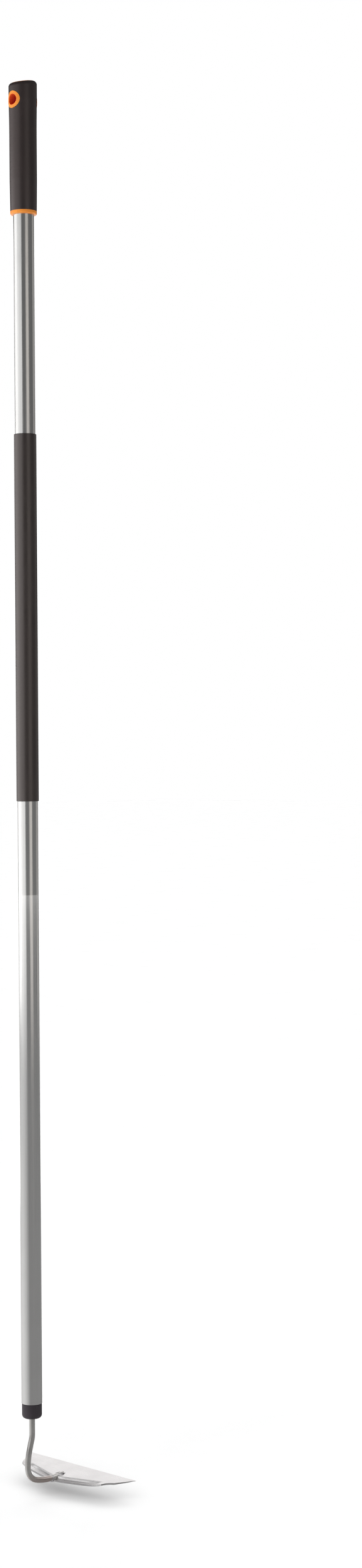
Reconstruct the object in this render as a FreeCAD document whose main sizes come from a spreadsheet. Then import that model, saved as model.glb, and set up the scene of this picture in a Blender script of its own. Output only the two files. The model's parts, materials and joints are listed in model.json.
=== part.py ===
import FreeCAD, Part
import math
import os

import Sketcher

# A long-handled grub hoe. Millimetres, +Z up along the shaft, +X from the shaft towards the cutting
# edge, Y across the blade. The origin is the centre of the hang hole at the top of the grip.

OUTPUT_FOLDER = "parts"

# alias: (value, what it measures). Heights are measured up from the blade's lowest face.
SIZES = {
    "hang_hole_height": (1672.9, "hang hole's centre above the blade's lowest face"),
    "tube_outer_diameter": (25.0, "aluminium tube, outside"),
    "tube_wall": (1.2, "aluminium tube wall"),
    "tube_top_drop": (20.0, "tube's top end below the hang hole's centre"),
    "ferrule_length": (18.2, "black collar between the tube's end and the neck"),
    "ferrule_bottom_height": (83.0, "underside of the black collar"),
    "ferrule_diameter": (24.2, "black collar, outside"),
    "ferrule_rounding": (4.5, "rounding of the collar's lower edge"),
    "spigot_length": (70.0, "plug's length inside the tube"),
    "sleeve_bottom_height": (830.5, "dark middle sleeve, lower end"),
    "sleeve_length": (442.5, "dark middle sleeve"),
    "sleeve_diameter": (27.0, "dark middle sleeve, outside"),
    "sleeve_chamfer": (0.7, "bevel at both ends of the sleeve"),
    "grip_bottom_drop": (136.2, "grip's lower end below the hang hole's centre"),
    "grip_collar_length": (4.0, "orange collar under the black grip"),
    "grip_collar_rounding": (1.4, "rounding of the collar's lower edge"),
    "grip_bottom_diameter": (32.0, "grip at its lower end"),
    "grip_waist_diameter": (33.0, "grip along its middle"),
    "grip_top_diameter": (34.2, "grip at the hang hole"),
    "grip_waist_low_drop": (95.0, "start of the grip's straight middle, below the hang hole"),
    "grip_waist_high_drop": (42.0, "end of the grip's straight middle, below the hang hole"),
    "grip_top_rise": (23.4, "grip's slanted top above the hang hole, on the axis"),
    "grip_top_slant": (9.0, "slant of the grip's top, higher towards +X, degrees"),
    "grip_top_rounding": (4.8, "rounding of the grip's top rim"),
    "crown_thickness": (0.6, "orange crown over the black grip"),
    "core_diameter": (28.6, "orange core inside the black grip"),
    "eyelet_outer_diameter": (20.4, "hang hole's orange ring"),
    "eyelet_bore_diameter": (12.8, "hang hole"),
    "eyelet_stand_out": (0.35, "ring's height above the grip's surface"),
    "rod_diameter": (7.0, "steel neck rod"),
    "rod_axis_height": (3.5, "rod's axis where it meets the blade"),
    "rod_tip_reach": (51.0, "rod's tip from the shaft's axis"),
    "rod_end_chamfer": (0.6, "bevel of the rod's cut ends"),
    "neck_setback": (7.3, "furthest the rod's axis goes behind the shaft's axis"),
    "neck_lean": (16.0, "rod's lean in the S-bend, degrees"),
    "neck_upper_radius": (22.0, "bend that starts the S, to the rod's axis"),
    "neck_lower_radius": (78.0, "bend that ends the S, to the rod's axis"),
    "elbow_turn": (74.0, "tight part of the elbow, degrees"),
    "elbow_radius": (17.5, "tight part of the elbow, to the rod's axis"),
    "run_radius": (80.0, "slow bend that levels the rod"),
    "tip_rise_start": (31.0, "where the rod starts to rise through the blade"),
    "tip_rise_radius": (60.0, "bend that lifts the rod's end"),
    "tip_rise_angle": (4.0, "rise of the rod's end, degrees"),
    "plate_thickness": (2.0, "blade steel"),
    "fold_height": (5.3, "top of the fold's middle above the blade's lowest face"),
    "plate_rise": (4.0, "rise of the flat towards the cutting edge, degrees"),
    "cutting_edge_reach": (81.5, "cutting edge from the shaft's axis"),
    "cutting_edge_width": (192.0, "cutting edge, corner to corner"),
    "back_corner_reach": (47.0, "back corners from the shaft's axis"),
    "back_width": (143.0, "back corners, corner to corner"),
    "back_apex_reach": (30.8, "middle of the angled back edge"),
    "fold_apex_reach": (38.0, "middle of the angled fold"),
    "fold_corner_reach": (57.5, "fold's ends from the shaft's axis"),
    "apex_easing": (9.0, "how far from the middle the angled lines round off"),
    "riser_run": (1.6, "length of the step between lip and plate, seen from above"),
    "riser_run_corner": (8.0, "the same at the blade's ends, where the step fades out"),
    "bend_radius": (0.8, "inside radius of the blade's two bends"),
    "bevel_start_reach": (74.0, "start of the ground bevel under the cutting edge"),
    "bevel_start_thickness": (1.2, "blade where the bevel starts"),
    "cutting_edge_thickness": (0.3, "cutting edge"),
    "slot_clearance": (0.2, "gap between rod and slot, each side"),
    "back_bead_diameter": (9.2, "weld bead behind the blade"),
    "back_bead_behind": (1.8, "weld bead behind the blade's back edge, along the rod"),
    "back_bead_over": (3.2, "weld bead over the blade's lip, along the rod"),
    "back_bead_sag": (0.6, "how far the bead hangs below the rod's axis"),
    "tip_bead_length": (13.0, "weld bead beside the rod's tip"),
    "tip_bead_width": (12.0, "weld bead beside the rod's tip, across"),
    "tip_bead_height": (2.6, "weld bead above the plate"),
    "tip_bead_inset": (2.4, "inner limit of each tip bead, from the rod's axis"),
}

SLOT_OVERCUT = 10.0          # how far cutting solids pass through what they cut
STEP_FADE_POWER = 6          # keeps the blade's step at full height until close to its ends
STATION_FRACTIONS = (0.0, 0.27, 0.52, 0.72, 0.85, 0.94, 1.0)   # of half the back width
END_STATION = 1.35           # past the corners, where the outline trims the blade


def make_sheet(doc):
    """The spreadsheet that holds the driving sizes, one row each."""
    sheet = doc.addObject("Spreadsheet::Sheet", "sizes")
    for row, (alias, (value, meaning)) in enumerate(SIZES.items(), start=1):
        sheet.set(f"A{row}", meaning)
        sheet.set(f"B{row}", str(value))
        sheet.setAlias(f"B{row}", alias)
    doc.recompute()
    return sheet


def bind(item, prop, expression):
    """Binds a property to an expression in which every size is written as its alias."""
    for alias in sorted(SIZES, key=len, reverse=True):
        expression = expression.replace("{" + alias + "}", f"sizes.{alias}")
    item.setExpression(prop, expression)


def origin_plane(body, role):
    for feature in body.Origin.OriginFeatures:
        if feature.Role == role:
            return feature
    raise ValueError(f"{body.Label} has no {role}")


def new_body(doc, label):
    body = doc.addObject("PartDesign::Body", label)
    body.Label = label
    return body


def new_sketch(body, name, role):
    sketch = body.newObject("Sketcher::SketchObject", name)
    sketch.AttachmentSupport = [(origin_plane(body, role), "")]
    sketch.MapMode = "FlatFace"
    return sketch


def circle_on_axis(sketch, name, diameter):
    """A circle about the sketch's origin whose diameter is an expression."""
    index = sketch.addGeometry(Part.Circle(FreeCAD.Vector(), FreeCAD.Vector(0, 0, 1), 10.0))
    sketch.addConstraint(Sketcher.Constraint("Coincident", index, 3, -1, 1))
    constraint = sketch.addConstraint(Sketcher.Constraint("Diameter", index, 20.0))
    sketch.renameConstraint(constraint, name)
    bind(sketch, f"Constraints.{name}", diameter)


def ring_body(doc, label, outer, inner, length, bottom):
    """A plain ring along Z, its lower end at the height given by an expression."""
    body = new_body(doc, label)
    sketch = new_sketch(body, f"{label}_section", "XY_Plane")
    circle_on_axis(sketch, "outer_diameter", outer)
    circle_on_axis(sketch, "inner_diameter", inner)
    pad = body.newObject("PartDesign::Pad", f"{label}_pad")
    pad.Profile = sketch
    bind(pad, "Length", length)
    bind(body, "Placement.Base.z", bottom)
    doc.recompute()
    return body


def circular_edges(shape, z, radius):
    """Names of the circular edges about Z at one height and radius, as features ask for them."""
    names = []
    for number, edge in enumerate(shape.Edges, start=1):
        if not isinstance(edge.Curve, Part.Circle):
            continue
        if abs(edge.Curve.Center.z - z) < 0.01 and abs(edge.Curve.Radius - radius) < 0.01:
            names.append(f"Edge{number}")
    return names


def make_shaft_tube(doc):
    return ring_body(
        doc,
        "shaft_tube",
        "{tube_outer_diameter}",
        "{tube_outer_diameter} - 2 * {tube_wall}",
        "{hang_hole_height} - {tube_top_drop} - {ferrule_bottom_height} - {ferrule_length}",
        "{ferrule_bottom_height} + {ferrule_length} - {hang_hole_height}",
    )


def make_middle_sleeve(doc, sheet):
    """The dark sleeve on the middle of the tube, bevelled at both ends."""
    body = ring_body(
        doc,
        "middle_sleeve",
        "{sleeve_diameter}",
        "{tube_outer_diameter}",
        "{sleeve_length}",
        "{sleeve_bottom_height} - {hang_hole_height}",
    )
    pad = body.Tip
    ends = []
    for z in (0.0, sheet.sleeve_length):
        ends += circular_edges(pad.Shape, z, sheet.sleeve_diameter / 2)
    bevel = body.newObject("PartDesign::Chamfer", "sleeve_end_bevels")
    bevel.Base = (pad, ends)
    bind(bevel, "Size", "{sleeve_chamfer}")
    return body


def make_socket_plug(doc, sheet):
    """The black plug that closes the tube and holds the neck: a collar with a spigot up inside the tube."""
    body = new_body(doc, "socket_plug")
    sketch = new_sketch(body, "plug_half_section", "XZ_Plane")
    bore = sheet.rod_diameter / 2
    spigot = sheet.tube_outer_diameter / 2 - sheet.tube_wall
    collar = sheet.ferrule_diameter / 2
    shoulder = sheet.ferrule_length
    top = shoulder + sheet.spigot_length
    corners = [(bore, 0), (collar, 0), (collar, shoulder), (spigot, shoulder), (spigot, top), (bore, top)]
    points = [FreeCAD.Vector(x, z, 0) for x, z in corners]
    for start, end in zip(points, points[1:] + points[:1]):
        sketch.addGeometry(Part.LineSegment(start, end))
    count = len(points)
    for side in range(count):
        sketch.addConstraint(Sketcher.Constraint("Coincident", side, 2, (side + 1) % count, 1))
        direction = "Horizontal" if side % 2 == 0 else "Vertical"
        sketch.addConstraint(Sketcher.Constraint(direction, side))
    sketch.addConstraint(Sketcher.Constraint("PointOnObject", 0, 1, -1))
    for name, kind, side, value, expression in (
        ("bore_radius", "DistanceX", 0, bore, "{rod_diameter} / 2"),
        ("collar_radius", "DistanceX", 1, collar, "{ferrule_diameter} / 2"),
        ("spigot_radius", "DistanceX", 3, spigot, "{tube_outer_diameter} / 2 - {tube_wall}"),
        ("shoulder_height", "DistanceY", 2, shoulder, "{ferrule_length}"),
        ("plug_height", "DistanceY", 4, top, "{ferrule_length} + {spigot_length}"),
    ):
        constraint = sketch.addConstraint(Sketcher.Constraint(kind, -1, 1, side, 1, value))
        sketch.renameConstraint(constraint, name)
        bind(sketch, f"Constraints.{name}", expression)
    turn = body.newObject("PartDesign::Revolution", "plug_turned")
    turn.Profile = sketch
    turn.ReferenceAxis = (sketch, ["V_Axis"])
    turn.Angle = 360.0
    doc.recompute()
    rounding = body.newObject("PartDesign::Fillet", "plug_lower_rounding")
    rounding.Base = (turn, circular_edges(turn.Shape, 0.0, collar))
    bind(rounding, "Radius", "{ferrule_rounding}")
    bind(body, "Placement.Base.z", "{ferrule_bottom_height} - {hang_hole_height}")
    return body


def make_grip_form(doc, sheet):
    """The grip's outer form: a turned profile, flared at the top, cut on a slant and rounded there."""
    body = new_body(doc, "grip_form")
    sketch = new_sketch(body, "grip_profile", "XZ_Plane")
    bottom = -sheet.grip_bottom_drop
    low = -sheet.grip_waist_low_drop
    high = -sheet.grip_waist_high_drop
    top = sheet.grip_top_rise + SLOT_OVERCUT
    waist = sheet.grip_waist_diameter / 2
    rim = sheet.grip_top_diameter / 2
    flare_middle = FreeCAD.Vector(waist + (rim - waist) / 4, high / 2, 0)
    corners = [(0, bottom), (sheet.grip_bottom_diameter / 2, bottom), (waist, low), (waist, high)]
    corners += [(rim, 0), (rim, top), (0, top)]
    points = [FreeCAD.Vector(x, z, 0) for x, z in corners]
    for number, (start, end) in enumerate(zip(points, points[1:] + points[:1])):
        if number == 3:
            sketch.addGeometry(Part.Arc(start, flare_middle, end))
        else:
            sketch.addGeometry(Part.LineSegment(start, end))
    turn = body.newObject("PartDesign::Revolution", "grip_turned")
    turn.Profile = sketch
    turn.ReferenceAxis = (sketch, ["V_Axis"])
    turn.Angle = 360.0
    doc.recompute()
    return body


def slanted_block(doc, name, lift):
    """A block that holds everything above the grip's slanted top, lowered by an expression."""
    block = doc.addObject("Part::Box", name)
    bind(block, "Length", "4 * {grip_top_diameter}")
    bind(block, "Width", "4 * {grip_top_diameter}")
    bind(block, "Height", "2 * {grip_top_diameter}")
    bind(block, "Placement.Base.x", "-2 * {grip_top_diameter} * cos({grip_top_slant})")
    bind(block, "Placement.Base.y", "-2 * {grip_top_diameter}")
    bind(
        block,
        "Placement.Base.z",
        "{grip_top_rise} - 2 * {grip_top_diameter} * sin({grip_top_slant}) - " + lift,
    )
    block.Placement.Rotation = FreeCAD.Rotation(FreeCAD.Vector(0, -1, 0), 1.0)
    bind(block, "Placement.Rotation.Angle", "{grip_top_slant}")
    doc.recompute()
    return block


def cylinder(doc, name, diameter, length, bottom):
    """A cylinder along Z between two expressions of height and length."""
    item = doc.addObject("Part::Cylinder", name)
    bind(item, "Radius", f"({diameter}) / 2")
    bind(item, "Height", length)
    bind(item, "Placement.Base.z", bottom)
    return item


def cross_cylinder(doc, name, diameter):
    """A cylinder along X through the hang hole, past both sides of the grip."""
    item = doc.addObject("Part::Cylinder", name)
    bind(item, "Radius", f"{diameter} / 2")
    bind(item, "Height", "2 * {grip_top_diameter}")
    item.Placement.Rotation = FreeCAD.Rotation(FreeCAD.Vector(0, 1, 0), 90.0)
    bind(item, "Placement.Base.x", "-{grip_top_diameter}")
    return item


def cut(doc, name, base, tool):
    item = doc.addObject("Part::Cut", name)
    item.Base = base
    item.Tool = tool
    doc.recompute()
    return item


def common(doc, name, base, tool):
    item = doc.addObject("Part::Common", name)
    item.Base = base
    item.Tool = tool
    doc.recompute()
    return item


def fuse(doc, name, items):
    item = doc.addObject("Part::MultiFuse", name)
    item.Shapes = items
    item.Refine = True
    doc.recompute()
    return item


def ring_edges(shape, lowest, highest, least_width):
    """Numbers of the edges wholly between two heights that are wider than a given width."""
    numbers = []
    for number, edge in enumerate(shape.Edges, start=1):
        size = edge.BoundBox
        if lowest < size.ZMin and size.ZMax < highest and size.XLength > least_width:
            numbers.append(number)
    return numbers


def round_edges(doc, name, base, edge_numbers, radius):
    item = doc.addObject("Part::Fillet", name)
    item.Base = base
    item.Edges = [(number, radius, radius) for number in edge_numbers]
    doc.recompute()
    return item


def make_grip(doc, sheet):
    """The grip's three mouldings: orange core with collar and crown, black cover, orange hang-hole ring."""
    raw_form = make_grip_form(doc, sheet)
    topped = cut(doc, "grip_topped", raw_form, slanted_block(doc, "above_top", "0"))
    bore = sheet.tube_outer_diameter
    rim = ring_edges(topped.Shape, sheet.grip_top_rise / 2, 2 * sheet.grip_top_rise, bore)
    rounded_top = round_edges(doc, "grip_top_rounded", topped, rim, sheet.grip_top_rounding)
    lowest = -sheet.grip_bottom_drop
    foot = ring_edges(rounded_top.Shape, lowest - 0.01, lowest + 0.01, bore)
    form = round_edges(doc, "grip_rounded", rounded_top, foot, sheet.grip_collar_rounding)

    crown = common(doc, "crown", form, slanted_block(doc, "above_cover", "{crown_thickness}"))
    collar_zone = cylinder(
        doc, "collar_zone", "2 * {grip_top_diameter}", "{grip_collar_length}", "-{grip_bottom_drop}"
    )
    collar = common(doc, "collar", form, collar_zone)
    core_zone = cylinder(
        doc, "core_zone", "{core_diameter}", "{grip_bottom_drop} + {grip_top_rise}", "-{grip_bottom_drop}"
    )
    core_middle = common(doc, "core_middle", form, core_zone)
    core_whole = fuse(doc, "core_whole", [crown, collar, core_middle])
    tube_zone = cylinder(
        doc,
        "tube_zone",
        "{tube_outer_diameter}",
        "{grip_bottom_drop} - {tube_top_drop} + {tube_outer_diameter}",
        "-{grip_bottom_drop} - {tube_outer_diameter}",
    )
    eye_zone = cross_cylinder(doc, "eye_zone", "{eyelet_outer_diameter}")
    core_bored = cut(doc, "core_bored", core_whole, tube_zone)
    core = cut(doc, "grip_core", core_bored, eye_zone)

    cover_outside = cut(doc, "cover_outside", form, core_whole)
    cover = cut(doc, "grip_cover", cover_outside, eye_zone)

    ring_reach = cylinder(
        doc, "ring_reach", "{grip_top_diameter} + 2 * {eyelet_stand_out}", "3 * {eyelet_outer_diameter}",
        "-1.5 * {eyelet_outer_diameter}",
    )
    ring_full = cut(doc, "ring_full", eye_zone, cross_cylinder(doc, "eye_bore", "{eyelet_bore_diameter}"))
    ring = common(doc, "hang_eyelet", ring_full, ring_reach)
    return [core, cover, ring]


def neck_centreline(sheet):
    """The neck's centreline in X and height, as straight stretches and arcs from the top down."""
    lean = math.radians(sheet.neck_lean)
    turn = math.radians(sheet.elbow_turn)
    levelling = math.pi / 2 - turn
    rise = math.radians(sheet.tip_rise_angle)
    upper = sheet.neck_upper_radius
    setback = sheet.neck_setback
    lower = sheet.neck_lower_radius
    # a straight stretch between the two bends takes up the rest of the setback
    straight = (setback - (upper + lower) * (1 - math.cos(lean))) / math.sin(lean)
    run_z = sheet.rod_axis_height
    run_x = -setback + sheet.elbow_radius * (1 - math.cos(turn))
    run_start_z = run_z + sheet.run_radius * (1 - math.cos(levelling))
    elbow_z = run_start_z + sheet.elbow_radius * math.sin(turn)
    lower_end = FreeCAD.Vector(
        -setback + lower * (1 - math.cos(lean)), elbow_z + lower * math.sin(lean), 0
    )
    upper_end = lower_end + FreeCAD.Vector(math.sin(lean), math.cos(lean), 0) * straight
    shoulder_z = upper_end.y + upper * math.sin(lean)

    def on_arc(centre_x, centre_z, radius, angle):
        return FreeCAD.Vector(centre_x + radius * math.cos(angle), centre_z + radius * math.sin(angle), 0)

    def arc(centre_x, centre_z, radius, first, last):
        return Part.Arc(
            on_arc(centre_x, centre_z, radius, first),
            on_arc(centre_x, centre_z, radius, (first + last) / 2),
            on_arc(centre_x, centre_z, radius, last),
        )

    level_x = run_x + sheet.run_radius * math.sin(levelling)
    tip_arc_x = max(sheet.tip_rise_start, level_x)
    tip_x = tip_arc_x + sheet.tip_rise_radius * math.sin(rise)
    tip_z = run_z + sheet.tip_rise_radius * (1 - math.cos(rise))
    tip_centre_z = run_z + sheet.tip_rise_radius
    last = sheet.rod_tip_reach - tip_x
    top_z = sheet.ferrule_bottom_height + sheet.ferrule_length + sheet.spigot_length
    half_turn = math.pi
    quarter_turn = math.pi / 2
    return [
        Part.LineSegment(FreeCAD.Vector(0, top_z, 0), FreeCAD.Vector(0, shoulder_z, 0)),
        arc(-upper, shoulder_z, upper, 0, -lean),
        Part.LineSegment(upper_end, lower_end),
        arc(lower - setback, elbow_z, lower, half_turn - lean, half_turn),
        arc(sheet.elbow_radius - setback, elbow_z, sheet.elbow_radius, half_turn, half_turn + turn),
        arc(level_x, run_z + sheet.run_radius, sheet.run_radius, half_turn + turn, 3 * quarter_turn),
        Part.LineSegment(FreeCAD.Vector(level_x, run_z, 0), FreeCAD.Vector(tip_arc_x, run_z, 0)),
        arc(tip_arc_x, tip_centre_z, sheet.tip_rise_radius, -quarter_turn, rise - quarter_turn),
        Part.LineSegment(
            FreeCAD.Vector(tip_x, tip_z, 0),
            FreeCAD.Vector(tip_x + last, tip_z + last * math.tan(rise), 0),
        ),
    ]


def make_neck_rod(doc, sheet):
    """The bent steel rod from the plug down to the blade: one round section along one smooth centreline."""
    body = new_body(doc, "neck_rod")
    path = new_sketch(body, "neck_centreline", "XZ_Plane")
    geometry = neck_centreline(sheet)
    for piece in geometry:
        path.addGeometry(piece)
    top_z = geometry[0].StartPoint.y
    section = new_sketch(body, "neck_section", "XY_Plane")
    section.AttachmentOffset = FreeCAD.Placement(FreeCAD.Vector(0, 0, top_z), FreeCAD.Rotation())
    circle_on_axis(section, "rod_diameter", "{rod_diameter}")
    sweep = body.newObject("PartDesign::AdditivePipe", "neck_bent")
    sweep.Profile = section
    sweep.Spine = path
    sweep.Mode = "Frenet"
    doc.recompute()
    ends = []
    for number, edge in enumerate(sweep.Shape.Edges, start=1):
        at_top = abs(edge.BoundBox.ZMin - top_z) < 0.01
        at_tip = edge.BoundBox.XMin > sheet.rod_tip_reach - sheet.rod_diameter / 2
        if isinstance(edge.Curve, Part.Circle) and (at_top or at_tip):
            ends.append(f"Edge{number}")
    bevel = body.newObject("PartDesign::Chamfer", "neck_end_bevels")
    bevel.Base = (sweep, ends)
    bind(bevel, "Size", "{rod_end_chamfer}")
    bind(body, "Placement.Base.z", "-{hang_hole_height}")
    doc.recompute()
    return body


def rounded_section(corners, y):
    """A closed wire in a plane across Y. Each corner is x, z and radius; a radius rounds that corner."""
    points = [FreeCAD.Vector(x, y, z) for x, z, _ in corners]
    count = len(points)
    arrivals = []
    departures = []
    arcs = []
    for number, point in enumerate(points):
        radius = corners[number][2]
        if radius == 0:
            arrivals.append(point)
            departures.append(point)
            arcs.append(None)
            continue
        back = (points[number - 1] - point).normalize()
        ahead = (points[(number + 1) % count] - point).normalize()
        half_angle = back.getAngle(ahead) / 2
        setback = radius / math.tan(half_angle)
        bisector = (back + ahead).normalize()
        middle = point + bisector * (radius / math.sin(half_angle) - radius)
        arrivals.append(point + back * setback)
        departures.append(point + ahead * setback)
        arcs.append(Part.Arc(arrivals[-1], middle, departures[-1]))
    edges = []
    for number in range(count):
        if arcs[number]:
            edges.append(arcs[number].toShape())
        edges.append(Part.LineSegment(departures[number], arrivals[(number + 1) % count]).toShape())
    return Part.Wire(edges)


def blade_section(sheet, y):
    """The blade cut across at one Y: a low lip, a step up, and the flat ground to the cutting edge."""
    half_back = sheet.back_width / 2
    share = min(abs(y) / half_back, 1.0)
    easing = sheet.apex_easing
    # an angled line across the blade, rounded where its two halves meet in the middle
    angled = (math.hypot(y, easing) - easing) / (math.hypot(half_back, easing) - easing)
    thickness = sheet.plate_thickness
    full_step = sheet.fold_height - thickness
    least_step = full_step / 12
    step = least_step + (full_step - least_step) * (1 - share ** STEP_FADE_POWER)
    run = sheet.riser_run + (sheet.riser_run_corner - sheet.riser_run) * share ** STEP_FADE_POWER
    back = sheet.back_apex_reach + (sheet.back_corner_reach - sheet.back_apex_reach) * angled
    fold = sheet.fold_apex_reach + (sheet.fold_corner_reach - sheet.fold_apex_reach) * angled
    foot = fold - run
    edge = sheet.cutting_edge_reach
    bevel = sheet.bevel_start_reach
    rise = math.tan(math.radians(sheet.plate_rise))
    plate_start = sheet.fold_height - sheet.fold_apex_reach * rise
    top = plate_start + fold * rise
    bevel_top = plate_start + bevel * rise
    edge_top = plate_start + edge * rise
    lip_top = top - step
    lip_bottom = lip_top - thickness
    slope = math.atan2(step, run)
    shift = thickness * math.tan(slope / 2)
    inside = sheet.bend_radius
    outside = inside + thickness
    corners = [
        (back, lip_bottom, 0),
        (foot + shift, lip_bottom, outside),
        (fold + shift, top - thickness, inside),
        (bevel, bevel_top - sheet.bevel_start_thickness, 0),
        (edge, edge_top - sheet.cutting_edge_thickness, 0),
        (edge, edge_top, 0),
        (fold, top, outside),
        (foot, lip_top, inside),
        (back, lip_top, 0),
    ]
    return rounded_section(corners, y)


def blade_outline(sheet):
    """A prism of the blade's plan: straight side edges that spread towards the cutting edge."""
    half_back = sheet.back_width / 2
    half_edge = sheet.cutting_edge_width / 2
    spread = (half_edge - half_back) / (sheet.cutting_edge_reach - sheet.back_corner_reach)
    behind = 3 * SLOT_OVERCUT
    rear = sheet.back_corner_reach - behind
    ahead = sheet.cutting_edge_reach + SLOT_OVERCUT
    corners = [
        (rear, -half_back + spread * behind),
        (ahead, -half_edge - spread * SLOT_OVERCUT),
        (ahead, half_edge + spread * SLOT_OVERCUT),
        (rear, half_back - spread * behind),
    ]
    points = [FreeCAD.Vector(x, y, -SLOT_OVERCUT) for x, y in corners]
    face = Part.Face(Part.makePolygon(points + points[:1]))
    return face.extrude(FreeCAD.Vector(0, 0, 4 * SLOT_OVERCUT))


def make_blade(doc, sheet):
    """The blade, lofted through sections across Y because its step is arched and fades out at the ends."""
    half_back = sheet.back_width / 2
    one_side = [fraction * half_back for fraction in STATION_FRACTIONS] + [END_STATION * half_back]
    stations = [-y for y in reversed(one_side[1:])] + one_side
    loft = Part.makeLoft([blade_section(sheet, y) for y in stations], True, False)
    shape = loft.common(blade_outline(sheet))
    slot_width = sheet.rod_diameter + 2 * sheet.slot_clearance
    slot_start = sheet.back_apex_reach - SLOT_OVERCUT
    slot_end = sheet.rod_tip_reach + sheet.slot_clearance
    slot = Part.makeBox(
        slot_end - slot_start,
        slot_width,
        4 * SLOT_OVERCUT,
        FreeCAD.Vector(slot_start, -slot_width / 2, -SLOT_OVERCUT),
    )
    blade = doc.addObject("Part::Feature", "blade")
    blade.Shape = shape.cut(slot).removeSplitter()
    blade.Placement.Base = FreeCAD.Vector(0, 0, -sheet.hang_hole_height)
    return blade


def make_back_weld(doc, blade, rod):
    """The weld bead round the rod where it meets the blade's back edge."""
    behind = doc.addObject("Part::Cone", "back_bead_behind")
    bind(behind, "Radius1", "{rod_diameter} / 2 + {slot_clearance}")
    bind(behind, "Radius2", "{back_bead_diameter} / 2")
    bind(behind, "Height", "{back_bead_behind}")
    over = doc.addObject("Part::Cone", "back_bead_over")
    bind(over, "Radius1", "{back_bead_diameter} / 2")
    bind(over, "Radius2", "{rod_diameter} / 2 + {slot_clearance}")
    bind(over, "Height", "{back_bead_over}")
    for bead, start in ((behind, "{back_apex_reach} - {back_bead_behind}"), (over, "{back_apex_reach}")):
        bead.Placement.Rotation = FreeCAD.Rotation(FreeCAD.Vector(0, 1, 0), 90.0)
        bind(bead, "Placement.Base.x", start)
        bind(bead, "Placement.Base.z", "{rod_axis_height} - {back_bead_sag} - {hang_hole_height}")
    bead = fuse(doc, "back_bead", [behind, over])
    off_blade = cut(doc, "back_bead_off_blade", bead, blade)
    return cut(doc, "weld_back", off_blade, rod)


def make_tip_welds(doc, blade, rod):
    """The two weld beads on top of the plate, one on each side of the rod's tip."""
    bead = doc.addObject("Part::Ellipsoid", "tip_bead")
    bind(bead, "Radius1", "{tip_bead_height}")
    bind(bead, "Radius2", "{tip_bead_length} / 2")
    bind(bead, "Radius3", "{tip_bead_width} / 2")
    bind(bead, "Placement.Base.x", "{rod_tip_reach} - {tip_bead_length} / 2")
    bind(bead, "Placement.Base.z", "{fold_height} - {hang_hole_height}")
    off_blade = cut(doc, "tip_bead_off_blade", bead, blade)
    off_rod = cut(doc, "tip_bead_off_rod", off_blade, rod)
    welds = []
    for label, side in (
        ("weld_tip_left", "{tip_bead_inset}"),
        ("weld_tip_right", "-{tip_bead_inset} - {tip_bead_width}"),
    ):
        half = doc.addObject("Part::Box", f"{label}_side")
        bind(half, "Length", "2 * {tip_bead_length}")
        bind(half, "Width", "{tip_bead_width}")
        bind(half, "Height", "2 * {tip_bead_height}")
        bind(half, "Placement.Base.x", "{rod_tip_reach} - {tip_bead_length} * 3 / 2")
        bind(half, "Placement.Base.y", side)
        bind(half, "Placement.Base.z", "{fold_height} - {hang_hole_height}")
        welds.append(common(doc, label, off_rod, half))
    return welds


def check_document(doc):
    for item in doc.Objects:
        if "Invalid" in item.State or "Error" in item.State:
            raise RuntimeError(f"{item.Name} is {item.State}")


def write_parts(parts):
    os.makedirs(OUTPUT_FOLDER, exist_ok=True)
    for part in parts:
        shape = part.Shape
        if shape.isNull() or not shape.isValid():
            raise RuntimeError(f"{part.Label} has no valid shape")
        shape.exportStep(os.path.join(OUTPUT_FOLDER, f"{part.Label}.step"))
        size = shape.BoundBox
        print(f"{part.Label}: {len(shape.Solids)} solid, {shape.Volume:.1f} mm3, "
              f"X {size.XMin:.1f}..{size.XMax:.1f}, Z {size.ZMin:.1f}..{size.ZMax:.1f}")


def main():
    doc = FreeCAD.newDocument("grub_hoe")
    sheet = make_sheet(doc)
    parts = [make_shaft_tube(doc)]
    parts.append(make_middle_sleeve(doc, sheet))
    parts.append(make_socket_plug(doc, sheet))
    parts += make_grip(doc, sheet)
    rod = make_neck_rod(doc, sheet)
    blade = make_blade(doc, sheet)
    parts += [rod, blade]
    parts.append(make_back_weld(doc, blade, rod))
    parts += make_tip_welds(doc, blade, rod)
    doc.recompute()
    check_document(doc)
    write_parts(parts)


main()
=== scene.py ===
import json
import math

import bpy
from mathutils import Matrix, Vector, noise


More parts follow.
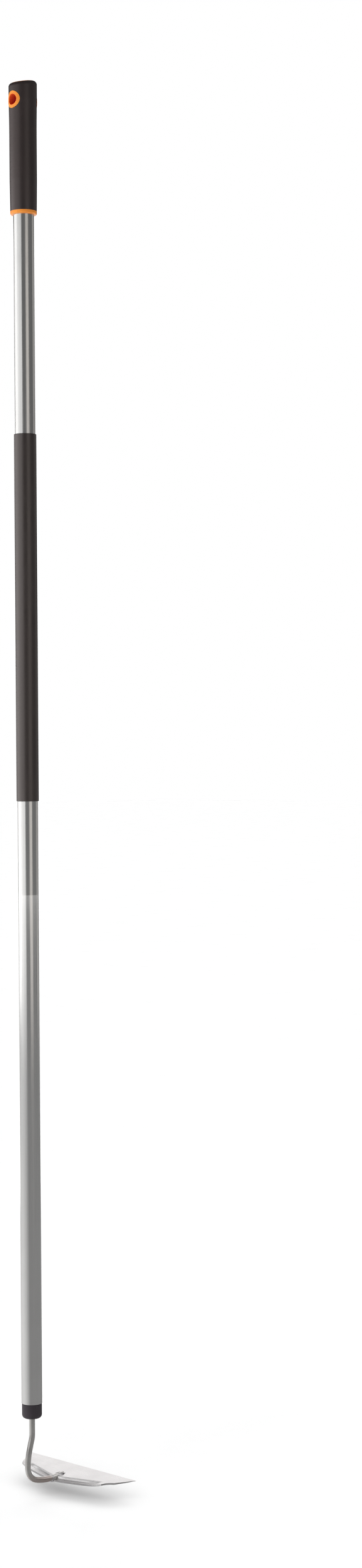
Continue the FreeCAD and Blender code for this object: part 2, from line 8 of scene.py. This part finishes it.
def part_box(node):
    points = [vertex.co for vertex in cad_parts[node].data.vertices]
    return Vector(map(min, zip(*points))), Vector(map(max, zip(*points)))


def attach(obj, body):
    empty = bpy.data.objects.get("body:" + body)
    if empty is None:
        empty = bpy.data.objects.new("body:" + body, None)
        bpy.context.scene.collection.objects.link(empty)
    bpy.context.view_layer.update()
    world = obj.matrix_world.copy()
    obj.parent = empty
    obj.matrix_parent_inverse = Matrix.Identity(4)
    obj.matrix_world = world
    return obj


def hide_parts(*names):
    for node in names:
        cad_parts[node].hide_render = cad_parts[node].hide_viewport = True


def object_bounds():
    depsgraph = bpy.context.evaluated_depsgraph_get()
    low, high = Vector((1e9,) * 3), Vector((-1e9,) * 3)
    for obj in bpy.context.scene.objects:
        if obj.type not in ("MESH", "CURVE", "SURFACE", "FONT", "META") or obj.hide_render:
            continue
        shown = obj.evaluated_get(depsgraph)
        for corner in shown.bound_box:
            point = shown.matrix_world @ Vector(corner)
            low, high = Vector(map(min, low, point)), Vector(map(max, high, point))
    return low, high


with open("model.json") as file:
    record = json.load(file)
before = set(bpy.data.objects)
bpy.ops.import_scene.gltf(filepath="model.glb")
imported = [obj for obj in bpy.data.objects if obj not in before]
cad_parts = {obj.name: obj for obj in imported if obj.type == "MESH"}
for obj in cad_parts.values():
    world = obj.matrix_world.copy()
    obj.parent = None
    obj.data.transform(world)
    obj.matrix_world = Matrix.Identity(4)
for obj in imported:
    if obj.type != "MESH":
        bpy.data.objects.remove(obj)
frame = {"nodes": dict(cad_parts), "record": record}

# A long-handled grub hoe in metres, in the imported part's own frame: +Z up along the shaft, +X from the
# shaft towards the cutting edge, the origin at the hang hole's centre.

MM = 0.001
BODY = "root"

cad_low, cad_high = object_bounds()

HANG_HOLE = next(m for m in frame["record"]["mounts"] if m["name"] == "hang_hole")
BORE_RADIUS = HANG_HOLE["dims"]["r_mm"] * MM


# ---------------------------------------------------------------- materials

class Shader:
    """A material's node tree, with short calls to add nodes and to join them."""

    def __init__(self, name):
        self.material = bpy.data.materials.new(name)
        self.material.use_nodes = True
        self.tree = self.material.node_tree
        self.surface = self.tree.nodes["Principled BSDF"]
        self.place = self.tree.nodes.new("ShaderNodeTexCoord").outputs["Object"]

    def put(self, value, socket):
        """Joins an output to a socket, or sets the socket to a plain value."""
        if isinstance(value, bpy.types.NodeSocket):
            self.tree.links.new(value, socket)
        else:
            socket.default_value = value

    def node(self, kind, inputs, **settings):
        made = self.tree.nodes.new(kind)
        for name, value in settings.items():
            setattr(made, name, value)
        for name, value in inputs.items():
            self.put(value, made.inputs[name])
        return made

    def stretched(self, scale):
        """The object's own coordinates, in metres, scaled differently along each axis."""
        return self.node("ShaderNodeMapping", {"Vector": self.place, "Scale": scale}).outputs["Vector"]

    def noise(self, vector, scale, detail=3.0, roughness=0.55):
        inputs = {"Vector": vector, "Scale": scale, "Detail": detail, "Roughness": roughness}
        return self.node("ShaderNodeTexNoise", inputs).outputs["Fac"]

    def spread(self, value, low, high, from_low=0.3, from_high=0.7):
        """Maps a noise to the range of values that a socket needs."""
        inputs = {"Value": value, "From Min": from_low, "From Max": from_high, "To Min": low, "To Max": high}
        return self.node("ShaderNodeMapRange", inputs).outputs["Result"]

    def calculate(self, operation, first, second):
        made = self.node("ShaderNodeMath", {}, operation=operation)
        self.put(first, made.inputs[0])
        self.put(second, made.inputs[1])
        return made.outputs["Value"]

    def blend(self, share, first, second):
        """A colour between two others."""
        made = self.node("ShaderNodeMix", {}, data_type="RGBA", blend_type="MIX")
        self.put(share, made.inputs["Factor"])
        self.put(first, made.inputs["A"])
        self.put(second, made.inputs["B"])
        return next(o for o in made.outputs if o.type == "RGBA")

    def bump(self, height, strength, distance):
        inputs = {"Height": height, "Strength": strength, "Distance": distance}
        return self.node("ShaderNodeBump", inputs).outputs["Normal"]

    def edges(self, radius):
        """1 on edges and corners and 0 on flat ground, from the shape itself."""
        rounded = self.node("ShaderNodeBevel", {"Radius": radius}, samples=6).outputs["Normal"]
        plain = self.node("ShaderNodeNewGeometry", {}).outputs["Normal"]
        turn = self.node("ShaderNodeVectorMath", {}, operation="DOT_PRODUCT")
        self.put(rounded, turn.inputs[0])
        self.put(plain, turn.inputs[1])
        return self.spread(turn.outputs["Value"], 1.0, 0.0, 0.80, 0.98)

    def finish(self, **inputs):
        for name, value in inputs.items():
            self.put(value, self.surface.inputs[name.replace("_", " ")])
        return self.material


def colour(red, green, blue):
    return (red, green, blue, 1.0)


def make_satin_aluminium():
    """Drawn aluminium tube: fine lines along the tube over faint broad bands and handling smudges."""
    s = Shader("satin_aluminium")
    drawn = s.noise(s.stretched((2600.0, 2600.0, 14.0)), 1.0, 4.0, 0.6)
    smudges = s.noise(s.place, 22.0, 4.0, 0.6)
    tone = s.blend(s.spread(drawn, 0.0, 1.0), colour(0.80, 0.795, 0.785), colour(0.87, 0.865, 0.855))
    worn = s.blend(s.spread(smudges, 0.0, 0.2, 0.45, 0.75), tone, colour(0.76, 0.75, 0.735))
    gloss = s.calculate("ADD", s.spread(drawn, 0.16, 0.24), s.spread(smudges, 0.0, 0.04, 0.45, 0.7))
    return s.finish(Base_Color=worn, Metallic=1.0, Roughness=gloss, Normal=s.bump(drawn, 0.06, 0.00003))


LIP_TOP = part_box("blade")[0].z + 0.0023      # just over the lip behind the blade's fold
FOLD_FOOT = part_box("blade")[0].z + 0.0036    # the painted shade lines along the lip fade out above this
HEAT_FULL_HEIGHT = LIP_TOP + 0.002           # the weld's heat browns the rod up to here in full
HEAT_END_HEIGHT = LIP_TOP + 0.016            # and no higher than this
HEAT_FADE_X = (0.026, 0.034)                 # it fades out along the rod between these
BEAD_SHADE_X = (0.040, 0.048)                # the painted shade on the tip beads darkens between these
BEAD_SHADE_SHARE = 0.80


def make_neck_steel():
    """Satin steel rod: drawn lines along it, a little dulling, and a brown heat tint by the weld."""
    s = Shader("neck_steel")
    grain = s.noise(s.stretched((1500.0, 1500.0, 60.0)), 1.0, 3.0)
    dull = s.noise(s.place, 90.0, 4.0, 0.6)
    tone = s.blend(s.spread(dull, 0.0, 1.0), colour(0.70, 0.685, 0.66), colour(0.82, 0.805, 0.78))
    apart = s.node("ShaderNodeSeparateXYZ", {"Vector": s.place}).outputs
    low_down = s.spread(apart["Z"], 0.85, 0.0, HEAT_FULL_HEIGHT, HEAT_END_HEIGHT)
    heated = s.calculate("MULTIPLY", low_down, s.spread(apart["X"], 1.0, 0.0, *HEAT_FADE_X))
    tinted = s.blend(heated, tone, colour(0.66, 0.55, 0.51))
    gloss = s.spread(dull, 0.30, 0.42)
    return s.finish(Base_Color=tinted, Metallic=1.0, Roughness=gloss, Normal=s.bump(grain, 0.15, 0.00004))


def make_blade_steel():
    """Ground blade: grinding lines across the blade, painted shade that darkens the lip below the fold, and
    painted shade in the creases and edges along it.
    """
    s = Shader("blade_steel")
    ground = s.noise(s.stretched((2200.0, 26.0, 2200.0)), 1.0, 4.0, 0.6)
    clouds = s.noise(s.place, 36.0, 4.0, 0.55)
    height = s.node("ShaderNodeSeparateXYZ", {"Vector": s.place}).outputs["Z"]
    tone = s.blend(s.spread(ground, 0.0, 1.0), colour(0.75, 0.738, 0.735), colour(0.86, 0.848, 0.846))
    cloudy = s.blend(s.spread(clouds, 0.0, 0.26, 0.4, 0.75), tone, colour(0.67, 0.655, 0.655))
    # painted shade: the lip at the foot of the riser is darkened towards grey
    lip_shade = s.spread(height, 0.75, 0.0, LIP_TOP, LIP_TOP + 0.0012)
    dull = s.blend(lip_shade, cloudy, colour(0.43, 0.415, 0.42))
    # painted shade: dark lines along the creases and edges below the fold's foot
    low_down = s.spread(height, 1.0, 0.0, FOLD_FOOT, FOLD_FOOT + 0.0008)
    shade_line = s.calculate("MULTIPLY", s.edges(0.0010), low_down)
    with_painted_shade = s.blend(s.calculate("MULTIPLY", shade_line, 0.95), dull, colour(0.10, 0.095, 0.10))
    gloss = s.calculate("ADD", s.spread(ground, 0.22, 0.32), s.spread(clouds, 0.0, 0.08))
    return s.finish(Base_Color=with_painted_shade, Metallic=1.0, Roughness=gloss, Normal=s.bump(ground, 0.14, 0.00005))


def make_weld_steel():
    """Weld bead: a tarnish that changes along it, and painted shade that darkens it towards the rod's tip."""
    s = Shader("weld_steel")
    tarnish = s.noise(s.place, 420.0, 4.0, 0.6)
    grains = s.noise(s.place, 2400.0, 3.0, 0.6)
    tone = s.blend(s.spread(tarnish, 0.0, 1.0), colour(0.52, 0.505, 0.51), colour(0.78, 0.765, 0.77))
    along = s.node("ShaderNodeSeparateXYZ", {"Vector": s.place}).outputs["X"]
    # painted shade: the beads grow darker towards the rod's tip, on their shaded side
    scale = s.spread(along, 0.0, BEAD_SHADE_SHARE, *BEAD_SHADE_X)
    shaded_to_tip = s.blend(scale, tone, colour(0.10, 0.095, 0.10))
    return s.finish(
        Base_Color=shaded_to_tip, Metallic=1.0, Roughness=s.spread(tarnish, 0.34, 0.55),
        Normal=s.bump(grains, 0.35, 0.00008),
    )


def make_grip_rubber():
    """Soft-touch cover: a very fine moulded grain, a broad sheen and slightly duller rubbed patches."""
    s = Shader("grip_rubber")
    grain = s.noise(s.place, 5200.0, 2.0, 0.6)
    rubbed = s.noise(s.place, 38.0, 3.0)
    tone = s.blend(s.spread(rubbed, 0.0, 1.0), colour(0.009, 0.0025, 0.0022), colour(0.013, 0.0040, 0.0036))
    return s.finish(
        Base_Color=tone, Roughness=s.spread(rubbed, 0.37, 0.44), IOR=1.82, Specular_IOR_Level=0.74,
        Specular_Tint=colour(1.0, 0.90, 0.885),
        Normal=s.bump(grain, 0.15, 0.00003),
    )


def make_sleeve_coating():
    """Satin charcoal sleeve, with faint lengthwise extrusion lines."""
    s = Shader("sleeve_coating")
    drawn = s.noise(s.stretched((1800.0, 1800.0, 10.0)), 1.0, 3.0)
    smudges = s.noise(s.place, 30.0, 4.0, 0.6)
    tone = s.blend(s.spread(smudges, 0.0, 1.0), colour(0.013, 0.006, 0.0045), colour(0.018, 0.010, 0.0075))
    return s.finish(
        Base_Color=tone, Roughness=s.spread(smudges, 0.33, 0.43), IOR=1.82, Specular_IOR_Level=0.74,
        Specular_Tint=colour(1.0, 0.93, 0.91), Normal=s.bump(drawn, 0.10, 0.00004),
    )


def make_black_plastic():
    """Moulded collar: slightly purple black with a fine spark-eroded grain."""
    s = Shader("black_plastic")
    grain = s.noise(s.place, 3400.0, 2.0, 0.6)
    clouds = s.noise(s.place, 60.0, 3.0)
    tone = s.blend(s.spread(clouds, 0.0, 1.0), colour(0.022, 0.015, 0.022), colour(0.031, 0.023, 0.031))
    return s.finish(
        Base_Color=tone, Roughness=s.spread(clouds, 0.40, 0.52), IOR=1.62, Specular_IOR_Level=0.55,
        Normal=s.bump(grain, 0.25, 0.00006),
    )


BORE_SHADE_MARGIN = 0.0008       # how far outside the bore the painted shade, a deeper red, still reaches
BORE_SHADE_X = (0.006, 0.0165)   # the bore's painted shade is darkest nearer the middle than these


def make_orange_plastic():
    """Orange moulding: a fine grain, a little light carried inside it, and painted shade, a darker deeper
    red, down the hang hole.
    """
    s = Shader("orange_plastic")
    grain = s.noise(s.place, 3000.0, 2.0, 0.6)
    clouds = s.noise(s.place, 70.0, 3.0)
    tone = s.blend(s.spread(clouds, 0.0, 1.0), colour(0.84, 0.262, 0.026), colour(0.91, 0.322, 0.040))
    apart = s.node("ShaderNodeSeparateXYZ", {"Vector": s.place}).outputs
    across = s.calculate("MULTIPLY", apart["Y"], apart["Y"])
    upright = s.calculate("MULTIPLY", apart["Z"], apart["Z"])
    from_axis = s.calculate("SQRT", s.calculate("ADD", across, upright), 0.0)
    # painted shade: the inside of the hang hole is darker and redder, darkest towards its middle
    bore_shade = s.spread(from_axis, 1.0, 0.0, BORE_RADIUS, BORE_RADIUS + BORE_SHADE_MARGIN)
    depth = s.spread(s.calculate("ABSOLUTE", apart["X"], 0.0), 1.0, 0.0, *BORE_SHADE_X)
    shaded_red = s.blend(depth, colour(0.90, 0.130, 0.020), colour(0.62, 0.030, 0.034))
    with_painted_shade = s.blend(bore_shade, tone, shaded_red)
    return s.finish(
        Base_Color=with_painted_shade, Roughness=s.spread(clouds, 0.34, 0.46), Subsurface_Weight=0.08,
        Subsurface_Radius=(0.004, 0.0012, 0.0004), Subsurface_Scale=0.4,
        Normal=s.bump(grain, 0.15, 0.00005),
    )


def make_floor_paint():
    """Pale studio floor with a barely visible mottle."""
    s = Shader("studio_floor")
    mottle = s.noise(s.place, 9.0, 3.0)
    tone = s.blend(s.spread(mottle, 0.0, 1.0), colour(0.84, 0.84, 0.84), colour(0.87, 0.87, 0.87))
    return s.finish(
        Base_Color=tone, Roughness=0.9, Specular_IOR_Level=0.1,
        Emission_Color=colour(1.0, 1.0, 1.0), Emission_Strength=FLOOR_GLOW,
    )


# ---------------------------------------------------------------- stage

FLOOR_GAP = 0.016            # the tool hangs just above the floor
FLOOR_HALF_SIDE = 30.0
FLOOR_GLOW = 0.098           # brings the floor up to the backdrop's white


def make_floor(low):
    z = low.z - FLOOR_GAP
    half = FLOOR_HALF_SIDE
    mesh = bpy.data.meshes.new("studio_floor")
    corners = [(-half, -half, z), (half, -half, z), (half, half, z), (-half, half, z)]
    mesh.from_pydata(corners, [], [(0, 1, 2, 3)])
    mesh.materials.append(make_floor_paint())
    floor = bpy.data.objects.new("studio_floor", mesh)
    bpy.context.scene.collection.objects.link(floor)
    floor.visible_glossy = False
    return floor


VIEW_AZIMUTH = math.radians(45.0)   # the camera stands behind the blade, on its -Y side
TOWARDS_CAMERA = Vector((-math.sin(VIEW_AZIMUTH), -math.cos(VIEW_AZIMUTH), 0.0))
TO_THE_RIGHT = Vector((math.cos(VIEW_AZIMUTH), -math.sin(VIEW_AZIMUTH), 0.0))
UP = Vector((0.0, 0.0, 1.0))

CAMERA_DISTANCE = 3.208
CAMERA_OFFSET = 0.1853              # to the right of the shaft, so that the blade's shadow has room
CAMERA_HEIGHT = 0.8955              # above the blade's lowest face
CAMERA_PITCH = math.radians(-0.81)
CAMERA_ROLL = math.radians(-0.358)
CAMERA_LENS = 60.97


def make_camera():
    blade_low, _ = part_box("blade")
    data = bpy.data.cameras.new("camera")
    data.lens = CAMERA_LENS
    data.clip_start = 0.1
    data.clip_end = 100.0
    camera = bpy.data.objects.new("camera", data)
    bpy.context.scene.collection.objects.link(camera)
    forward = -TOWARDS_CAMERA * math.cos(CAMERA_PITCH) + UP * math.sin(CAMERA_PITCH)
    level_up = TO_THE_RIGHT.cross(forward)
    right = TO_THE_RIGHT * math.cos(CAMERA_ROLL) + level_up * math.sin(CAMERA_ROLL)
    up = right.cross(forward)
    place = TOWARDS_CAMERA * CAMERA_DISTANCE + TO_THE_RIGHT * CAMERA_OFFSET
    place.z = blade_low.z + CAMERA_HEIGHT
    turn = Matrix((right, up, -forward)).transposed()
    camera.matrix_world = Matrix.Translation(place) @ turn.to_4x4()
    bpy.context.scene.camera = camera


WHITE = (1.0, 1.0, 1.0)


def make_softbox(name, azimuth, distance, low, high, width, radiance, tint=WHITE):
    """An upright soft box round the shaft; azimuth is in degrees from the camera's side towards its right."""
    angle = math.radians(azimuth)
    side = TOWARDS_CAMERA * math.cos(angle) + TO_THE_RIGHT * math.sin(angle)
    height = high - low
    data = bpy.data.lights.new(name, "AREA")
    data.shape = "RECTANGLE"
    data.size = width
    data.size_y = height
    data.energy = radiance * width * height * math.pi
    data.color = tint
    lamp = bpy.data.objects.new(name, data)
    bpy.context.scene.collection.objects.link(lamp)
    place = side * distance + UP * (low + high) / 2
    aim = UP * place.z - place
    lamp.matrix_world = Matrix.Translation(place) @ aim.to_track_quat("-Z", "Y").to_matrix().to_4x4()
    lamp.visible_camera = False
    return lamp


# name: (strength, spread in degrees, then how far its light goes to the right and away for each metre down)
FLOOR_SUNS = {
    "overhead": (1.95, 140.0, 0.0, 0.25),
    "from_front_left": (1.30, 60.0, 0.6, 1.6),
    "from_behind": (0.75, 60.0, 0.0, -1.1),
}
TOOL_SUN = (1.5, 50.0, 1.4, 0.5)

TOP_PANEL_WIDTH = 1.5
TOP_PANEL_DEPTH = 1.1
TOP_PANEL_RADIANCE = 0.85
TOP_PANEL_TOWARDS_CAMERA = 0.15
TOP_PANEL_TO_THE_RIGHT = 0.40
TOP_PANEL_HEIGHT = 0.72      # above the tool's lowest point

KEY_AZIMUTH = -104.0         # degrees from the camera's side towards its right


def make_sun(name, strength, spread, right, away):
    """A very soft light that mirrors in nothing, for even diffuse light."""
    data = bpy.data.lights.new(name, "SUN")
    data.energy = strength
    data.angle = math.radians(spread)
    lamp = bpy.data.objects.new(name, data)
    bpy.context.scene.collection.objects.link(lamp)
    aim = -UP + TO_THE_RIGHT * right - TOWARDS_CAMERA * away
    lamp.matrix_world = aim.to_track_quat("-Z", "Y").to_matrix().to_4x4()
    lamp.visible_glossy = False
    return lamp


def make_top_panel():
    """A level soft box over the blade that lights the top of the rod's run and the welds."""
    data = bpy.data.lights.new("top_panel", "AREA")
    data.shape = "RECTANGLE"
    data.size = TOP_PANEL_WIDTH
    data.size_y = TOP_PANEL_DEPTH
    data.energy = TOP_PANEL_RADIANCE * data.size * data.size_y * math.pi
    lamp = bpy.data.objects.new("top_panel", data)
    bpy.context.scene.collection.objects.link(lamp)
    place = TOWARDS_CAMERA * TOP_PANEL_TOWARDS_CAMERA + TO_THE_RIGHT * TOP_PANEL_TO_THE_RIGHT
    place += UP * (cad_low.z + TOP_PANEL_HEIGHT)
    turn = Matrix((TO_THE_RIGHT, -TOWARDS_CAMERA, UP)).transposed()
    lamp.matrix_world = Matrix.Translation(place) @ turn.to_4x4()
    lamp.visible_camera = False
    return lamp


ROOM_DARK = 0.13
ROOM_FLOOR = 0.27            # what the tool's lower part mirrors from below
ROOM_KEY_SIDE = 0.55         # extra below, towards the key light


def room_brightness(tree):
    """The room's brightness by direction: dim above, paler below, and palest below towards the key light."""
    direction = tree.nodes.new("ShaderNodeTexCoord").outputs["Generated"]

    def towards(vector, from_low, from_high, low, high):
        dot = tree.nodes.new("ShaderNodeVectorMath")
        dot.operation = "DOT_PRODUCT"
        tree.links.new(direction, dot.inputs[0])
        dot.inputs[1].default_value = vector
        ramp = tree.nodes.new("ShaderNodeMapRange")
        tree.links.new(dot.outputs["Value"], ramp.inputs["Value"])
        limits = {"From Min": from_low, "From Max": from_high, "To Min": low, "To Max": high}
        for name, value in limits.items():
            ramp.inputs[name].default_value = value
        return ramp.outputs["Result"]

    below = towards((0.0, 0.0, -1.0), -0.02, 0.20, 0.0, 1.0)
    key_angle = math.radians(KEY_AZIMUTH)
    key_direction = TOWARDS_CAMERA * math.cos(key_angle) + TO_THE_RIGHT * math.sin(key_angle)
    key_side = towards(key_direction, 0.0, 1.0, 0.0, 1.0)
    glow = tree.nodes.new("ShaderNodeMath")
    glow.operation = "MULTIPLY_ADD"
    tree.links.new(key_side, glow.inputs[0])
    glow.inputs[1].default_value = ROOM_KEY_SIDE
    glow.inputs[2].default_value = ROOM_FLOOR - ROOM_DARK
    total = tree.nodes.new("ShaderNodeMath")
    total.operation = "MULTIPLY_ADD"
    tree.links.new(below, total.inputs[0])
    tree.links.new(glow.outputs["Value"], total.inputs[1])
    total.inputs[2].default_value = ROOM_DARK
    return total.outputs["Value"]


def make_world():
    """Studio surroundings: white behind everything for the camera, a dim room for reflections."""
    world = bpy.data.worlds.new("studio")
    bpy.context.scene.world = world
    world.use_nodes = True
    tree = world.node_tree
    room = tree.nodes["Background"]
    room.inputs["Color"].default_value = colour(1.0, 1.0, 1.0)
    tree.links.new(room_brightness(tree), room.inputs["Strength"])
    backdrop = tree.nodes.new("ShaderNodeBackground")
    backdrop.inputs["Color"].default_value = colour(1.0, 1.0, 1.0)
    backdrop.inputs["Strength"].default_value = 1.0
    path = tree.nodes.new("ShaderNodeLightPath")
    mix = tree.nodes.new("ShaderNodeMixShader")
    tree.links.new(path.outputs["Is Camera Ray"], mix.inputs["Fac"])
    tree.links.new(room.outputs["Background"], mix.inputs[1])
    tree.links.new(backdrop.outputs["Background"], mix.inputs[2])
    tree.links.new(mix.outputs["Shader"], tree.nodes["World Output"].inputs["Surface"])


def light_floor(lamps, floor, alone):
    """Makes lamps light only the floor, or everything but the floor."""
    group = bpy.data.collections.new("floor_lit" if alone else "floor_spared")
    group.objects.link(floor)
    for member in group.collection_objects:
        member.light_linking.link_state = "INCLUDE" if alone else "EXCLUDE"
    for lamp in lamps:
        lamp.light_linking.receiver_collection = group


def make_lights(floor):
    light_floor([
        make_softbox("key_left", KEY_AZIMUTH, 1.6, -1.25, 0.35, 1.5, 1.08),
        make_softbox("fill_left", -52.0, 2.0, -1.3, 0.4, 2.1, 0.66),
        make_softbox("key_edge", -66.0, 1.9, -1.3, 0.35, 0.5, 0.15),
        make_softbox("fill_right", 36.0, 2.0, -1.3, 0.4, 1.1, 0.44, (1.0, 0.94, 0.88)),
        make_softbox("back_right", 125.0, 2.0, -1.3, 0.4, 1.2, 0.20, (1.0, 0.96, 0.92)),
        make_softbox("back_panel", -170.0, 1.8, -1.65, 0.2, 1.7, 0.91, (1.0, 0.985, 0.985)),
        make_top_panel(),
        make_sun("tool_sun", *TOOL_SUN),
    ], floor, False)
    light_floor([make_sun(name, *facts) for name, facts in FLOOR_SUNS.items()], floor, True)


# ---------------------------------------------------------------- the object

NODE_MATERIALS = {
    "shaft_tube": "satin_aluminium",
    "middle_sleeve": "sleeve_coating",
    "socket_plug": "black_plastic",
    "grip_core": "orange_plastic",
    "grip_cover": "grip_rubber",
    "hang_eyelet": "orange_plastic",
    "neck_rod": "neck_steel",
    "blade": "blade_steel",
    "weld_back": "weld_steel",
    "weld_tip_left": "weld_steel",
    "weld_tip_right": "weld_steel",
}
MAKERS = {
    "satin_aluminium": make_satin_aluminium,
    "sleeve_coating": make_sleeve_coating,
    "black_plastic": make_black_plastic,
    "orange_plastic": make_orange_plastic,
    "grip_rubber": make_grip_rubber,
    "neck_steel": make_neck_steel,
    "blade_steel": make_blade_steel,
    "weld_steel": make_weld_steel,
}


def dress_nodes(materials):
    for node, slot in NODE_MATERIALS.items():
        frame["nodes"][node].material_slots[0].material = materials[slot]


SEGMENTS = 96                # round each turned piece
CORNER_STEPS = 4


def add_piece(node, vertices, faces, materials):
    """A closed mesh that stands for one CAD node."""
    mesh = bpy.data.meshes.new(node + "_fine")
    mesh.from_pydata(vertices, [], faces)
    mesh.materials.append(materials[NODE_MATERIALS[node]])
    mesh.shade_smooth()
    mesh.set_sharp_from_angle(angle=math.radians(40.0))
    piece = bpy.data.objects.new(node + "_fine", mesh)
    bpy.context.scene.collection.objects.link(piece)
    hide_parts(node)
    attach(piece, BODY)


def half_section(corners):
    """A closed half section from square corners, each (radius, height, rounding)."""
    points = []
    for index, (radius, height, rounding) in enumerate(corners):
        corner = Vector((radius, height))
        before = (Vector(corners[index - 1][:2]) - corner).normalized()
        after = (Vector(corners[(index + 1) % len(corners)][:2]) - corner).normalized()
        centre = corner + (before + after) * rounding
        points.append(corner + before * 2 * rounding)
        for step in range(CORNER_STEPS + 1):
            angle = step / CORNER_STEPS * math.pi / 2
            points.append(centre - after * rounding * math.cos(angle) - before * rounding * math.sin(angle))
        points.append(corner + after * 2 * rounding)
    return points


def turn_piece(node, corners, materials):
    """A turned piece: the half section taken once round the shaft's axis."""
    section = half_section(corners)
    count = len(section)
    vertices = []
    for turn in range(SEGMENTS):
        angle = turn / SEGMENTS * 2 * math.pi
        vertices += [(point.x * math.cos(angle), point.x * math.sin(angle), point.y) for point in section]
    faces = []
    for turn in range(SEGMENTS):
        here = turn * count
        there = (turn + 1) % SEGMENTS * count
        for index in range(count):
            after = (index + 1) % count
            faces.append((here + index, there + index, there + after, here + after))
    add_piece(node, vertices, faces, materials)


TUBE_BORE = 11.3 * MM        # radius inside the tube, round the plug's spigot
TUBE_END_ROUNDING = 0.25 * MM
SLEEVE_END_ROUNDING = 0.6 * MM
COLLAR_ROUNDING = 4.5 * MM   # the collar's lower edge
COLLAR_TOP_ROUNDING = 0.4 * MM
HIDDEN_ROUNDING = 0.15 * MM
ROD_RADIUS = 3.5 * MM


def make_turned_pieces(materials):
    tube_low, tube_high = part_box("shaft_tube")
    tube_radius = tube_high.x
    turn_piece("shaft_tube", [
        (TUBE_BORE, tube_low.z, HIDDEN_ROUNDING), (tube_radius, tube_low.z, TUBE_END_ROUNDING),
        (tube_radius, tube_high.z, TUBE_END_ROUNDING), (TUBE_BORE, tube_high.z, HIDDEN_ROUNDING),
    ], materials)
    low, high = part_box("middle_sleeve")
    turn_piece("middle_sleeve", [
        (tube_radius, low.z, HIDDEN_ROUNDING), (high.x, low.z, SLEEVE_END_ROUNDING),
        (high.x, high.z, SLEEVE_END_ROUNDING), (tube_radius, high.z, HIDDEN_ROUNDING),
    ], materials)
    low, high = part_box("socket_plug")
    shoulder = tube_low.z
    turn_piece("socket_plug", [
        (ROD_RADIUS, low.z, HIDDEN_ROUNDING), (high.x, low.z, COLLAR_ROUNDING),
        (high.x, shoulder, COLLAR_TOP_ROUNDING), (TUBE_BORE, shoulder, HIDDEN_ROUNDING),
        (TUBE_BORE, high.z, HIDDEN_ROUNDING), (ROD_RADIUS, high.z, HIDDEN_ROUNDING),
    ], materials)


BEAD_RINGS = 72
BEAD_SEGMENTS = 48
BEAD_FULLNESS = 0.36         # lower is blunter at the ends
BEAD_RIPPLES = 2.6
BEAD_RIDGE_DEPTH = 0.13
BEAD_BOW = 0.16              # how far the ripples curve along the bead
BEAD_LUMPS = 0.05
LUMPS_ALONG = 2.1
LUMPS_ROUND = 1.3
LUMPS_START = 300            # picks the part of the noise that the lumps are read from


def make_bead(node, materials):
    """A weld bead that fills its CAD node's box: a solid mound along X that the rod runs through, with
    ripples left by the torch."""
    low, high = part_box(node)
    centre = (low + high) / 2
    half = (high - low) / 2
    vertices = [(low.x, centre.y, centre.z)]
    for ring in range(1, BEAD_RINGS):
        along = -math.cos(ring / BEAD_RINGS * math.pi)
        girth = (1 - along * along) ** BEAD_FULLNESS
        for step in range(BEAD_SEGMENTS):
            angle = step / BEAD_SEGMENTS * 2 * math.pi
            bow = along + BEAD_BOW * math.cos(angle) ** 2
            ridge = 1 - BEAD_RIDGE_DEPTH * (0.5 + 0.5 * math.cos(math.pi * BEAD_RIPPLES * bow))
            spot = Vector((along * LUMPS_ALONG, math.cos(angle) * LUMPS_ROUND, math.sin(angle) * LUMPS_ROUND))
            spot += centre * LUMPS_START
            lump = 1 - BEAD_LUMPS * (0.5 + 0.5 * noise.noise(spot))
            reach = girth * ridge * lump
            vertices.append((
                centre.x + half.x * along,
                centre.y + half.y * reach * math.cos(angle),
                centre.z + half.z * reach * math.sin(angle),
            ))
    vertices.append((high.x, centre.y, centre.z))
    last = len(vertices) - 1
    faces = []
    for step in range(BEAD_SEGMENTS):
        after = (step + 1) % BEAD_SEGMENTS
        faces.append((0, 1 + after, 1 + step))
        end = 1 + (BEAD_RINGS - 2) * BEAD_SEGMENTS
        faces.append((last, end + step, end + after))
        for ring in range(BEAD_RINGS - 2):
            here = 1 + ring * BEAD_SEGMENTS
            there = here + BEAD_SEGMENTS
            faces.append((here + step, here + after, there + after, there + step))
    add_piece(node, vertices, faces, materials)


materials = {slot: make() for slot, make in MAKERS.items()}
dress_nodes(materials)
make_turned_pieces(materials)
make_bead("weld_back", materials)
floor = make_floor(cad_low)
make_camera()
make_world()
make_lights(floor)
bpy.context.scene.view_settings.view_transform = "Standard"
